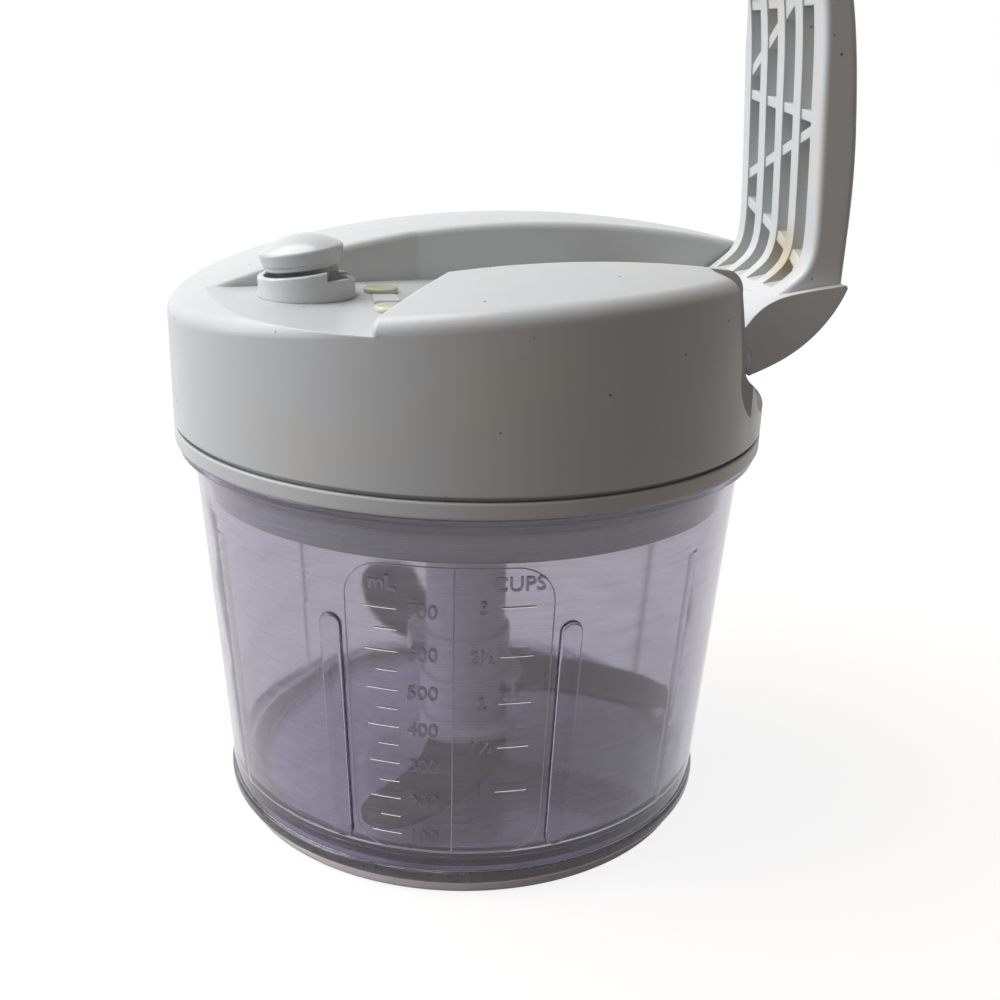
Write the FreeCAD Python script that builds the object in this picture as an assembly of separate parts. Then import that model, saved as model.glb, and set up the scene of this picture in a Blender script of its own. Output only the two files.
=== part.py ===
import FreeCAD, Part
import math
import os
from FreeCAD import Vector as V

os.makedirs("parts", exist_ok=True)

# Pump-lever food chopper. Millimetres, +Z up, origin at the middle of the base ring's
# underside, +X towards the lever hinge. The lever stands up; the latch button is at rest.

# ---- overall sizes
bowl_r_bottom = 58.3
bowl_r_top = 64.1
bowl_wall = 2.2
bowl_floor_z = 5.0
bowl_floor_t = 2.4
foot_r = bowl_r_bottom + 0.7
foot_top_z = 6.6
ring_h = 3.6
ring_r_out = foot_r - 2.0
ring_r_in = 50.0
base_web = 1.8
flange_r = bowl_r_top + 3.1
flange_z1 = 91.0
flange_t = 2.1
flange_z0 = flange_z1 - flange_t
lid_r = flange_r + 0.8
band_h = 3.6
groove_h = 1.0
groove_depth = 1.2
lid_wall = 2.4
rim_fillet = 3.6

# ---- lid top: a shallow dome cut by the lever channel
dome_x = 18.0
dome_y = 5.0
dome_z = flange_z1 + 47.0
dome_rx = 240.0
dome_ry = 400.0
floor_z = flange_z1 + 34.0
floor_t = 2.4
chan_y = -19.0
chan_half = 21.0
arris_x = -12.0

# ---- lever and hinge
pivot_x = 47.0
pivot_z = flange_z1 + 22.0
pin_r = 2.5
run = 0.05
barrel_r = pin_r + 3.0
side_gap = 0.8
lever_len = 74.0
lever_end_z = pivot_z + lever_len
rail_near = 4.8
rail_far = 4.2
rib_t = 3.2
ledge = 2.4
comp_x0 = 26.5
comp_z0 = pivot_z - 12.0
comp_wall = 2.4

# ---- gears
mod = 1.0
press_deg = 25.0
add_k = 0.75
ded_k = 1.0
backlash = 0.3
n_sector = 32
n_idler = 26
n_cross = 12
n_crown = 24
n_pinion = 8
gear_y0 = -22.0
gear_w = 6.0
cross_z = pivot_z - 9.0
gear_pin_r = 2.0
crown_face = 2.4

# ---- output and blades
plug_z0 = flange_z1 - 11.2
plug_gap = 0.9
taper = (bowl_r_top - bowl_r_bottom) / (flange_z0 - foot_top_z)
plug_r_bottom = bowl_r_bottom + taper * (plug_z0 - foot_top_z) - bowl_wall - plug_gap
plug_r_top = plug_r_bottom + 0.5
plug_floor_t = 2.3
shaft_r = 3.0
socket_r = 9.0
socket_z0 = plug_z0 - 13.3
hub_r = 10.0
hub_top_z = socket_z0 - 0.5
hex_head_af = 11.0
hex_gap = 0.3
post_r = 3.0
blade_t = 1.2
blade_rise = 1.0
blade_step = 11.8
blade_tip_r = bowl_r_bottom - bowl_wall - 3.1

# ---- latch
knob_x = -38.2
knob_y = -18.0
collar_r = 10.15
collar_wall = 1.4
collar_h = 5.7
collar_low_h = 4.2
cap_r = 8.9
cap_gap = 0.7
rock_x = knob_x + 1.0
rock_z = floor_z + 2.5
rock_deg = 8.0

groove_z0 = flange_z1 + band_h
groove_z1 = groove_z0 + groove_h
chan_near = chan_y - chan_half
chan_far = chan_y + chan_half


def cyl(r, z0, z1, x=0.0, y=0.0):
    return Part.makeCylinder(r, z1 - z0, V(x, y, z0))


def ycyl(r, y0, y1, x, z):
    return Part.makeCylinder(r, y1 - y0, V(x, y0, z), V(0, 1, 0))


def box(x0, x1, y0, y1, z0, z1):
    return Part.makeBox(x1 - x0, y1 - y0, z1 - z0, V(x0, y0, z0))


def tube(r_out, r_in, z0, z1, x=0.0, y=0.0):
    return cyl(r_out, z0, z1, x, y).cut(cyl(r_in, z0 - 1, z1 + 1, x, y))


def revolved(pts):
    face = Part.Face(Part.makePolygon([V(r, 0, z) for r, z in pts + pts[:1]]))
    return face.revolve(V(0, 0, 0), V(0, 0, 1), 360)


def rounded(pts):
    # solid of revolution from r, z and corner radius; a corner with no radius stays sharp
    n = len(pts)
    ends = []
    for k in range(n):
        p = V(pts[k][0], 0, pts[k][1])
        rad = pts[k][2] if len(pts[k]) > 2 else 0.0
        a = V(pts[k - 1][0], 0, pts[k - 1][1]) - p
        b = V(pts[(k + 1) % n][0], 0, pts[(k + 1) % n][1]) - p
        if rad <= 0:
            ends.append((p, p, p))
            continue
        half = a.getAngle(b) / 2.0
        a.normalize()
        b.normalize()
        reach = rad / math.tan(half)
        mid = a + b
        mid.normalize()
        ends.append((p + a * reach, p + mid * (rad / math.sin(half) - rad), p + b * reach))
    edges = []
    for k in range(n):
        first, middle, last = ends[k]
        if (first - last).Length > 1e-6:
            edges.append(Part.Arc(first, middle, last).toShape())
        follow = ends[(k + 1) % n][0]
        edges.append(Part.makeLine(last, follow))
    return Part.Face(Part.Wire(edges)).revolve(V(0, 0, 0), V(0, 0, 1), 360)


def prism_xy(pts, z0, z1):
    face = Part.Face(Part.makePolygon([V(x, y, z0) for x, y in pts + pts[:1]]))
    return face.extrude(V(0, 0, z1 - z0))


def prism_xz(pts, y0, y1):
    face = Part.Face(Part.makePolygon([V(x, y0, z) for x, z in pts + pts[:1]]))
    return face.extrude(V(0, y1 - y0, 0))


def prism_yz(pts, x0, x1):
    face = Part.Face(Part.makePolygon([V(x0, y, z) for y, z in pts + pts[:1]]))
    return face.extrude(V(x1 - x0, 0, 0))


def hexagon(af, z0, z1):
    rad = af / math.sqrt(3)
    pts = [(rad * math.cos(math.radians(60 * k)), rad * math.sin(math.radians(60 * k)))
           for k in range(6)]
    return prism_xy(pts, z0, z1)


def fuse_all(shapes):
    out = shapes[0].fuse(shapes[1:]) if len(shapes) > 1 else shapes[0]
    return out.removeSplitter()


def dome_tool(drop):
    # everything under the dome, lowered by drop: a flat arc turned about a low X axis
    zc = dome_z - drop
    low = dome_z - dome_ry
    half = 110.0
    sag = dome_rx - math.sqrt(dome_rx ** 2 - half ** 2)
    left = V(dome_x - half, dome_y, zc - sag)
    right = V(dome_x + half, dome_y, zc - sag)
    arc = Part.Arc(left, V(dome_x, dome_y, zc), right).toShape()
    base_z = floor_z - 60.0
    lines = [Part.makeLine(right, V(right.x, dome_y, base_z)),
             Part.makeLine(V(right.x, dome_y, base_z), V(left.x, dome_y, base_z)),
             Part.makeLine(V(left.x, dome_y, base_z), left)]
    face = Part.Face(Part.Wire([arc] + lines))
    axis_at = V(dome_x, dome_y, low)
    face.rotate(axis_at, V(1, 0, 0), -18)
    return face.revolve(axis_at, V(1, 0, 0), 36)


def involute(a):
    return math.tan(a) - a


def gear_outline(n, thin, start=0, count=None):
    # closed outline of a spur gear, first tooth centred on +X, or of a run of its teeth
    r = mod * n / 2.0
    base = r * math.cos(math.radians(press_deg))
    tip = r + add_k * mod
    root = r - ded_k * mod
    half = math.pi / (2 * n) - thin / (2 * r)
    low = max(base, root)
    flank = []
    for k in range(6):
        rho = low + (tip - low) * k / 5.0
        a = math.acos(min(1.0, base / rho))
        flank.append((rho, half + involute(math.radians(press_deg)) - involute(a)))
    if root < base:
        flank.insert(0, (root, flank[0][1]))
    teeth = range(start, start + (count or n))
    pts = []
    for k in teeth:
        mid = 2 * math.pi * k / n
        for rho, off in flank:
            pts.append((rho, mid - off))
        for rho, off in reversed(flank):
            pts.append((rho, mid + off))
    return [(rho * math.cos(t), rho * math.sin(t)) for rho, t in pts]


def spur_y(n, phase_deg, x, z, y0, y1, thin):
    # spur gear on a Y axis; the phase is the angle of one tooth from +X towards +Z
    c, s = math.cos(math.radians(phase_deg)), math.sin(math.radians(phase_deg))
    pts = [(x + c * u - s * v, z + s * u + c * v) for u, v in gear_outline(n, thin)]
    return prism_xz(pts, y0, y1)


def export(name, shape):
    shape.exportStep("parts/%s.step" % name)


# ======================================================== bowl


def wall_r(z):
    return bowl_r_bottom + taper * (z - foot_top_z)


floor_top = bowl_floor_z + bowl_floor_t
corner = 6.0
bowl_pts = [(0, bowl_floor_z), (ring_r_in, bowl_floor_z), (ring_r_in, ring_h), (foot_r, ring_h, 0.9),
            (foot_r, foot_top_z, 0.8), (wall_r(foot_top_z), foot_top_z, 0.3), (wall_r(flange_z0), flange_z0, 0.8),
            (flange_r, flange_z0, 0.6), (flange_r, flange_z1, 0.5), (wall_r(flange_z1) - bowl_wall, flange_z1, 0.5),
            (wall_r(floor_top) - bowl_wall, floor_top, corner), (0, floor_top)]
bowl = rounded(bowl_pts)
rib_angles = (-125.8, -80.0)
rib_w = 4.9
rib_out = 1.0
rib_z0 = 12.0
rib_z1 = flange_z1 - 24.0
tilt = math.degrees(math.atan(taper))
for angle in rib_angles:
    z_mid = 0.5 * (rib_z0 + rib_z1)
    length = rib_z1 - rib_z0 - rib_w
    depth = bowl_wall * 0.6
    bar = Part.makeBox(depth + rib_out, rib_w, length, V(-depth, -rib_w / 2, -length / 2))
    for end in (-1, 1):
        nose = Part.makeCylinder(rib_w / 2, depth + rib_out, V(-depth, 0, end * length / 2), V(1, 0, 0))
        bar = bar.fuse(nose)
    bar = bar.removeSplitter()
    bar = bar.makeFillet(0.6, [e for e in bar.Edges if e.BoundBox.XMin > rib_out - 0.01])
    bar.rotate(V(0, 0, 0), V(0, 1, 0), tilt)
    bar.translate(V(wall_r(z_mid), 0, z_mid))
    bar.rotate(V(0, 0, 0), V(0, 0, 1), angle)
    bowl = bowl.fuse(bar)
baffle_angles = (-160.0, -48.0, 20.0, 132.0)
baffle_in = 1.0
for angle in baffle_angles:
    z0 = floor_top - 0.5
    z1 = plug_z0 - 4.0
    pts = [(wall_r(z0) - bowl_wall - baffle_in, z0), (wall_r(z0) - bowl_wall * 0.5, z0),
           (wall_r(z1) - bowl_wall * 0.5, z1), (wall_r(z1) - bowl_wall - baffle_in, z1 - 2)]
    bar = prism_xz(pts, -0.8, 0.8)
    bar.rotate(V(0, 0, 0), V(0, 0, 1), angle)
    bowl = bowl.fuse(bar)
boss_top = floor_top + 3.0
bowl = bowl.fuse(cyl(post_r + 3.5, bowl_floor_z, boss_top)).cut(cyl(post_r, bowl_floor_z + 0.8, boss_top + 1))
export("bowl", bowl.removeSplitter())

pad = cyl(ring_r_out, 0, ring_h).cut(cyl(ring_r_in + 1.0, base_web, ring_h + 1))
pad = pad.makeFillet(1.2, [e for e in pad.Edges if e.BoundBox.ZMax < 0.01 and e.BoundBox.XMax > ring_r_out - 1])
export("base_pad", pad)

post_top = hub_top_z - 8.0
post = cyl(post_r, bowl_floor_z + 0.8, post_top)
post = post.makeChamfer(0.8, [e for e in post.Edges if e.BoundBox.ZMin > post_top - 0.01])
export("bowl_post", post)

# ======================================================== lid housing
def spline(pts, y):
    curve = Part.BSplineCurve()
    curve.interpolate([V(x, y, z) for x, z in pts])
    return curve.toShape()


def outline_xz(runs, y0, y1, lean=0.0):
    # a closed outline in x and z: each run of points is a smooth curve, straight lines join the runs;
    # the outline moves sideways by lean for each millimetre from y0 to y1
    wire = []
    for k, run_pts in enumerate(runs):
        if len(run_pts) > 1:
            wire.append(spline(run_pts, y0) if len(run_pts) > 2 else
                        Part.makeLine(V(run_pts[0][0], y0, run_pts[0][1]), V(run_pts[1][0], y0, run_pts[1][1])))
        a, b = run_pts[-1], runs[(k + 1) % len(runs)][0]
        wire.append(Part.makeLine(V(a[0], y0, a[1]), V(b[0], y0, b[1])))
    return Part.Face(Part.Wire(wire)).extrude(V(-lean * (y1 - y0), y1 - y0, 0))


funnel_far = (-67.5, -9.3)
funnel_near = (-30.5, -62.0)
channel = [(lid_r + 10, chan_near), (lid_r + 10, chan_far), (arris_x, chan_far), funnel_far,
           (funnel_far[0] - 20, funnel_far[1] - 4), (-60, -85), (funnel_near[0] - 9, funnel_near[1] - 11),
           funnel_near, (arris_x, chan_near)]
shell_off = lid_wall
funnel_walls = [(lid_r + 10, chan_near - shell_off), (lid_r + 10, chan_far + shell_off),
                (arris_x - 0.5, chan_far + shell_off), (funnel_far[0], funnel_far[1] + shell_off + 0.1),
                (funnel_far[0] - 20, funnel_far[1]), (-60, -85), (funnel_near[0] + 2, funnel_near[1] - 14),
                (funnel_near[0] + shell_off + 0.7, funnel_near[1] - 2), (arris_x + 1.2, chan_near - shell_off)]
in_r = lid_r - lid_wall
housing = cyl(lid_r, groove_z1, dome_z + 5).common(dome_tool(0.0))
top_edges = [e for e in housing.Edges if e.BoundBox.ZMin > groove_z1 + 15 and e.BoundBox.XLength > lid_r]
housing = housing.makeFillet(rim_fillet, top_edges)
housing = housing.cut(prism_xy(channel, floor_z, dome_z + 10))


def off_outline(x, y, outline):
    best = 1e9
    for (x0, y0), (x1, y1) in zip(outline, outline[1:] + outline[:1]):
        dx, dy = x1 - x0, y1 - y0
        t = max(0.0, min(1.0, ((x - x0) * dx + (y - y0) * dy) / (dx * dx + dy * dy)))
        best = min(best, math.hypot(x - x0 - t * dx, y - y0 - t * dy))
    return best


edge_soft = 1.5
wall_tops = []
for e in housing.Edges:
    m = e.valueAt((e.FirstParameter + e.LastParameter) / 2)
    lies_flat = e.BoundBox.ZLength < 0.8 * e.Length
    if lies_flat and m.z > floor_z + 0.5 and off_outline(m.x, m.y, channel) < 0.02:
        wall_tops.append(e)
housing = housing.makeFillet(edge_soft, wall_tops)
hollow = cyl(in_r, groove_z1 - 1, dome_z + 5).common(dome_tool(lid_wall + 0.6))
hollow = hollow.cut(prism_xy(funnel_walls, floor_z - floor_t, dome_z + 10))
keep = box(comp_x0 - comp_wall, lid_r, chan_near - comp_wall, chan_far + comp_wall, comp_z0 - comp_wall, dome_z)
hollow = hollow.cut(keep)
# the near side stops level with the hinge pin, and its end is solid
near_end = pivot_x - 0.2
hollow = hollow.cut(box(near_end - 4.8, lid_r, -lid_r, chan_near, comp_z0 - comp_wall, dome_z + 5))
housing = housing.cut(hollow)
bosses = []
boss_r = 4.0
screw_r = 1.4
screw_pcr = plug_r_bottom - 7.4
screw_spots = [(screw_pcr * math.cos(math.radians(a)), screw_pcr * math.sin(math.radians(a))) for a in (75, 158, -104)]
base_top = plug_z0 + plug_floor_t
for x, y in screw_spots:
    bosses.append(cyl(boss_r, base_top + 0.2, dome_z, x, y).common(dome_tool(lid_wall)))
housing = housing.fuse(bosses).removeSplitter()
void = box(comp_x0, lid_r + 8, chan_near, chan_far, comp_z0, dome_z + 5)
corner_r = 8.0
low_edges = [e for e in void.Edges if e.BoundBox.ZMax < comp_z0 + 0.01 and e.BoundBox.YLength < 0.01]
void = void.makeFillet(corner_r, low_edges)
housing = housing.cut(void)
end_top = dome_z - 4.4
end_lean = 2.6
near_open = [[(near_end - 5.3, dome_z + 9), (near_end - 5.3, end_top + 0.3)],
             [(near_end - 5.2, end_top), (near_end - 3.4, end_top - 0.8), (near_end - 2.2, end_top - 2.4),
              (near_end + 0.9 - end_lean, end_top - 4.6)],
             [(near_end + 0.9, pivot_z + 1.4), (near_end + 1.7, comp_z0 + 7.8), (near_end + 4.4, comp_z0 + 3.2),
              (near_end + 8.0, comp_z0 + 0.4)],
             [(near_end + 12.0, comp_z0), (lid_r + 12, comp_z0)], [(lid_r + 12, dome_z + 9)]]
housing = housing.cut(outline_xz(near_open, -lid_r - 2, chan_near - comp_wall))
wall_end = [[(near_end - 1.4, dome_z + 9), (near_end - 1.4, end_top + 0.3)],
            [(near_end - 1.3, end_top), (near_end + 0.5, end_top - 0.8), (near_end + 1.7, end_top - 2.4),
             (near_end + 4.7 - end_lean, end_top - 4.6)],
            [(near_end + 4.4, pivot_z + 1.8), (near_end + 5.1, pivot_z - 2.4), (near_end + 7.1, pivot_z - 4.6),
             (near_end + 8.9, pivot_z - 7.3), (near_end + 9.7, pivot_z - 11.9)],
            [(lid_r + 12, comp_z0), (lid_r + 12, dome_z + 9)]]
housing = housing.cut(outline_xz(wall_end, chan_near - comp_wall - 0.1, chan_near + 0.1))
slot_y0 = gear_y0 - 1.0
slot_y1 = gear_y0 + gear_w + 1.0
housing = housing.cut(box(comp_x0 - comp_wall - 1, pivot_x + 12, slot_y0, slot_y1, groove_z1, floor_z - floor_t))
for x, y in screw_spots:
    housing = housing.cut(cyl(screw_r, base_top, base_top + 14, x, y))
pin_y0 = chan_near - 1.8
pin_y1 = chan_far + 2.2
housing = housing.cut(ycyl(pin_r, pin_y0, pin_y1, pivot_x, pivot_z))
bar_x = -22.3
bar_y = -25.5
bar_half_y = 3.6
ridge = box(bar_x - 2.8, bar_x + 2.8, bar_y - bar_half_y, bar_y + bar_half_y, floor_z - 0.5, floor_z + 0.9)
ridge = ridge.makeFillet(0.5, [e for e in ridge.Edges if e.BoundBox.ZMin > floor_z + 0.89])
housing = housing.fuse(ridge).removeSplitter()
export("lid_housing", housing)

# ======================================================== lid base with the plug
spigot_z1 = comp_z0 - comp_wall - 0.3
flange = rounded([(plug_r_top - 2.4, flange_z1), (lid_r, flange_z1, 0.5), (lid_r, groove_z0, 0.5),
                   (lid_r - groove_depth, groove_z0), (lid_r - groove_depth, groove_z1),
                   (in_r - 0.3, groove_z1), (in_r - 0.3, spigot_z1), (in_r - 2.3, spigot_z1),
                   (in_r - 2.3, groove_z0), (plug_r_top - 2.4, groove_z0)])
plug = revolved([(0, plug_z0), (plug_r_bottom, plug_z0), (plug_r_top, flange_z1 + 0.4),
                 (plug_r_top - 2.4, flange_z1 + 0.4), (plug_r_bottom - 2.4, base_top), (0, base_top)])
seal_z = plug_z0 + 6.2
seal_h = 2.0
seal_gap = 0.58
base = flange.fuse(plug).removeSplitter()
base = base.cut(tube(plug_r_top + 3, plug_r_top - 1.1, seal_z, seal_z + seal_h))
base = base.fuse(cyl(shaft_r + 3.5, plug_z0 + 0.5, base_top + 3.0)).removeSplitter()
base = base.cut(cyl(shaft_r + run, plug_z0 - 1, base_top + 4))
for x, y in screw_spots:
    base = base.cut(cyl(screw_r + 0.3, plug_z0 - 1, base_top + 1, x, y))
    base = base.cut(cyl(screw_r + 1.4, plug_z0 - 1, plug_z0 + 1.3, x, y))
export("lid_base", base)

seal_r_out = wall_r(seal_z) - bowl_wall - seal_gap
seal = tube(seal_r_out, plug_r_top - 1.1, seal_z, seal_z + seal_h)
export("lid_seal", seal)

screws = []
for x, y in screw_spots:
    screws.append(cyl(screw_r + 1.2, plug_z0 + 0.1, plug_z0 + 1.3, x, y).fuse(
        cyl(screw_r, plug_z0 + 1.3, base_top + 12, x, y)).removeSplitter())
export("lid_screws", Part.makeCompound(screws))

# ======================================================== latch collar, bumpers
collar = tube(collar_r, collar_r - collar_wall, floor_z, floor_z + collar_h + 3, knob_x, knob_y)
slope_top = box(knob_x - 20, knob_x + 20, knob_y - 20, knob_y + 20, floor_z + collar_h, floor_z + collar_h + 20)
slope_top.rotate(V(rock_x, 0, rock_z), V(0, 1, 0), -rock_deg)
collar = collar.cut(slope_top)
step_x = knob_x + 3.8
collar = collar.cut(box(step_x, knob_x + 20, knob_y - 20, knob_y + 20, floor_z + collar_low_h, floor_z + 20))
collar = collar.cut(box(knob_x + 5, knob_x + 20, knob_y - 4.6, knob_y + 4.6, floor_z + 3.6, floor_z + 20))
pin_half = math.sqrt(collar_r ** 2 - (rock_x - knob_x) ** 2) - 0.5
latch_pin_r = 0.9
top = [e for e in collar.Edges if e.BoundBox.ZMin > floor_z + 3.7 and e.BoundBox.XMax < step_x + 0.01]
collar = collar.makeFillet(0.4, [e for e in top if e.Length > 12])
collar = collar.cut(ycyl(latch_pin_r, knob_y - pin_half, knob_y + pin_half, rock_x, rock_z))
export("latch_collar", collar.removeSplitter())

bumper_h = 1.2
bumper_r = 3.7
bumper_dy = 10.9
for name, side in (("bumper_far", 1), ("bumper_near", -1)):
    pad = cyl(bumper_r, floor_z, floor_z + bumper_h, bar_x, bar_y + side * bumper_dy)
    pad = pad.makeFillet(0.6, [e for e in pad.Edges if e.BoundBox.ZMin > floor_z + bumper_h - 0.01])
    export(name, pad)

# ======================================================== hinge pin and return spring
export("hinge_pin", ycyl(pin_r, pin_y0, pin_y1, pivot_x, pivot_z))

spring_wire = 0.44
spring_r = 4.0
spring_turns = 4
spring_pitch = 1.15
spring_y0 = chan_near + 0.9
helix = Part.makeHelix(spring_pitch, spring_pitch * spring_turns, spring_r)
corners = [(spring_wire, spring_wire), (-spring_wire, spring_wire), (-spring_wire, -spring_wire), (spring_wire, -spring_wire)]
start = Part.Wire(Part.makePolygon([V(spring_r + u, 0, w) for u, w in corners + corners[:1]]))
coil = Part.Wire(helix).makePipeShell([start], True, True)
coil.rotate(V(0, 0, 0), V(1, 0, 0), -90)
coil.translate(V(pivot_x, spring_y0, pivot_z))
export("return_spring", coil)

# ======================================================== lever
def from_pin(pts):
    # the lever's outlines are measured from the hinge pin
    return [(pivot_x + x, pivot_z + z) for x, z in pts]


skin = from_pin([(26.7, 16.4), (26.8, 23.0), (26.9, 31.5), (26.6, 42.0), (25.6, 53.0), (24.3, 63.0), (22.1, lever_len)])
inner = from_pin([(15.6, lever_len), (16.9, 64.0), (17.6, 54.0), (18.4, 42.0), (19.0, 31.0), (19.1, 25.5), (18.7, 22.0),
                  (17.5, 19.3), (15.4, 17.2), (13.2, 15.5), (10.9, 13.7)])
lever_y0 = chan_near + side_gap
lever_y1 = chan_far - side_gap


# the elbow is wider than the blade on the near side and its top is a shallow step round the blade
elbow_top = from_pin([(26.2, 16.8), (23.6, 16.4), (20.6, 16.0), (17.0, 15.4), (13.5, 14.7), (10.6, 13.7), (7.8, 12.0),
             (5.7, 9.8), (3.8, 7.4), (1.4, 5.8), (-2.4, 4.9)])
under = from_pin([(-0.2, -4.8), (6.2, -2.2), (13.4, 1.1), (19.0, 5.1), (23.2, 9.8), (25.4, 13.4), (26.6, 16.2)])
lever_elbow = outline_xz([elbow_top, under], lever_y0, lever_y1)
blade_y0 = lever_y0 + ledge
blade_foot = from_pin([(11.0, 5.0), (23.0, 11.5)])
# the blade stands a few degrees out of square with the hinge pin
blade_lean = 0.055
lever_blade = outline_xz([inner, blade_foot, skin], blade_y0, lever_y1, blade_lean)
width = lever_y1 - blade_y0


def long_edges(shape, near, far):
    # edges in the two side faces whose middle lies in the box from near to far, in x and z
    found = []
    for e in shape.Edges:
        m = e.valueAt((e.FirstParameter + e.LastParameter) / 2)
        inside = near[0] < m.x < far[0] and near[1] < m.z < far[1]
        if e.BoundBox.YLength < 0.01 and e.Length > 40 and inside:
            found.append(e)
    return found


skin_zone = from_pin([(22.0, 27.0), (30.0, 62.0)])
inner_zone = from_pin([(12.0, 17.0), (21.0, 62.0)])
skin_round = 1.4
inner_round = 1.3
lever_blade = lever_blade.makeFillet(skin_round, long_edges(lever_blade, *skin_zone))
lever_blade = lever_blade.makeFillet(inner_round, long_edges(lever_blade, *inner_zone))
barrel = ycyl(barrel_r, lever_y0, lever_y1, pivot_x, pivot_z)
lever = lever_elbow.fuse([lever_blade, barrel]).removeSplitter()

# pockets between the ribs, open towards the channel side
pitch = (width - rail_near - rail_far - 3 * rib_t) / 4.0
pocket_foot = from_pin([(23.9, 18.4), (22.4, 16.9), (17.0, 16.1), (13.5, 15.4), (7.0, 14.6), (7.0, lever_len - 2.4)])
pocket_skin = from_pin([(20.0, lever_len - 2.4), (21.6, 63.5), (22.9, 53.5), (23.8, 42.0), (24.1, 31.0), (24.0, 23.0)])
bar_back = 0.35
bar_front = [(x + bar_back, z) for x, z in inner[:8]]


def leaning(run_pts, y):
    return [(x - blade_lean * (y - blade_y0), z) for x, z in run_pts]


pockets = []
slots = []
for k in range(4):
    y0 = blade_y0 + rail_near + k * (pitch + rib_t)
    runs = [[p] for p in leaning(pocket_foot, y0)] + [leaning(pocket_skin, y0)]
    pockets.append(outline_xz(runs, y0, y0 + pitch, blade_lean))
    slot_runs = [from_pin([(7.0, 19.3)]), from_pin([(7.0, lever_len - 2.4)]), leaning(bar_front, y0)]
    slots.append(outline_xz(slot_runs, y0, y0 + pitch, blade_lean))
cell = Part.makeCompound(pockets)


def cross_bar(y0, z0, y1, z1, t):
    dy, dz = y1 - y0, z1 - z0
    n = math.hypot(dy, dz)
    ny, nz = -dz / n * t / 2, dy / n * t / 2
    return prism_yz([(y0 + ny, z0 + nz), (y1 + ny, z1 + nz), (y1 - ny, z1 - nz), (y0 - ny, z0 - nz)], 50, 80)


y_far = lever_y1
y_near = blade_y0
bar_ends = [(54.6, 49.4), (35.2, 49.4), (56.2, 82.7), (32.0, 18.3)]
bars = [cross_bar(y_far, pivot_z + far, y_near, pivot_z + near, 2.0) for far, near in bar_ends]
cell = cell.cut(Part.makeCompound(bars))
lever = lever.cut(cell).cut(Part.makeCompound(slots))

# lip that the latch holds
tongue_end = pivot_z + pivot_x - knob_x - 8.6
tongue = box(pivot_x + 16.0, pivot_x + 18.2, knob_y - 3.5, knob_y + 3.5, lever_end_z - 3, tongue_end)
lever = lever.fuse(tongue).removeSplitter()
gear_hub_y0 = gear_y0 - 2.0
gear_hub_y1 = gear_y0 + gear_w + 2.0
gear_hub_r = barrel_r + 0.5
lever = lever.cut(ycyl(gear_hub_r, gear_hub_y0, gear_hub_y1, pivot_x, pivot_z))
gear_key = box(pivot_x + 4.0, pivot_x + 9.0, gear_y0, gear_y0 + gear_w, pivot_z - 1.5, pivot_z + 1.5)
lever = lever.cut(gear_key)
room_pts = [(pivot_x, pivot_z), (pivot_x + 2.2, pivot_z + 20), (pivot_x - 20, pivot_z + 20), (pivot_x - 20, pivot_z - 12)]
lever = lever.cut(prism_xz(room_pts, gear_y0 - 0.6, gear_y0 + gear_w + 0.6))
# the far side narrows where the channel wall slants
slant = (funnel_far[1] - chan_far) / (arris_x - funnel_far[0])
z_bend = pivot_z + pivot_x - arris_x
trim = [(lever_y1, z_bend), (lever_y1 + 5, z_bend), (lever_y1 + 5, z_bend + 30), (lever_y1 + slant * 30, z_bend + 30)]
lever = lever.cut(prism_yz(trim, 50, 80))
spring_room = ycyl(6.6, lever_y0 - 1, spring_y0 + spring_pitch * (spring_turns + 1.0), pivot_x, pivot_z)
lever = lever.cut(spring_room)
lever = lever.cut(ycyl(pin_r + run, lever_y0 - 1, lever_y1 + 1, pivot_x, pivot_z))
solids = sorted(lever.Solids, key=lambda s: -s.Volume)
export("lever", solids[0])

# ======================================================== gear train
r_sector = mod * n_sector / 2.0
r_idler = mod * n_idler / 2.0
r_cross = mod * n_cross / 2.0
d1 = r_sector + r_idler
d2 = r_idler + r_cross
span_x = -pivot_x
span_z = cross_z - pivot_z
span = math.hypot(span_x, span_z)
along = (d1 ** 2 - d2 ** 2 + span ** 2) / (2 * span)
off = math.sqrt(max(d1 ** 2 - along ** 2, 0.0))
ux, uz = span_x / span, span_z / span
idler_x = pivot_x + along * ux - off * uz
idler_z = pivot_z + along * uz + off * ux
beta1 = math.degrees(math.atan2(idler_z - pivot_z, idler_x - pivot_x))
beta2 = math.degrees(math.atan2(cross_z - idler_z, 0.0 - idler_x))
idler_phase = beta1 + 180.0 + 180.0 / n_idler
step_i = 360.0 / n_idler
lead = (idler_phase - beta2) % step_i
cross_phase = beta2 + 180.0 - lead * r_idler / r_cross + 180.0 / n_cross

sector_full = spur_y(n_sector, beta1, pivot_x, pivot_z, gear_y0, gear_y0 + gear_w, backlash)
lever_travel = 90.0
reach = 8.0
a0 = math.radians(beta1 - lever_travel - reach)
a1 = math.radians(beta1 + reach)
wedge_pts = [(pivot_x, pivot_z)]
steps = 8
for k in range(steps + 1):
    a = a0 + (a1 - a0) * k / steps
    wedge_pts.append((pivot_x + 24 * math.cos(a), pivot_z + 24 * math.sin(a)))
sector = sector_full.common(prism_xz(wedge_pts, gear_y0 - 1, gear_y0 + gear_w + 1))
sector = sector.fuse(ycyl(gear_hub_r, gear_hub_y0, gear_hub_y1, pivot_x, pivot_z))
sector = sector.fuse(gear_key).removeSplitter()
sector = sector.cut(ycyl(pin_r + run, gear_hub_y0 - 1, gear_hub_y1 + 1, pivot_x, pivot_z))
export("sector_gear", sector)

idler = spur_y(n_idler, idler_phase, idler_x, idler_z, gear_y0, gear_y0 + gear_w, backlash)
idler = idler.cut(ycyl(gear_pin_r + run, gear_y0 - 1, gear_y0 + gear_w + 1, idler_x, idler_z))
export("idler_gear", idler)

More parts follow.
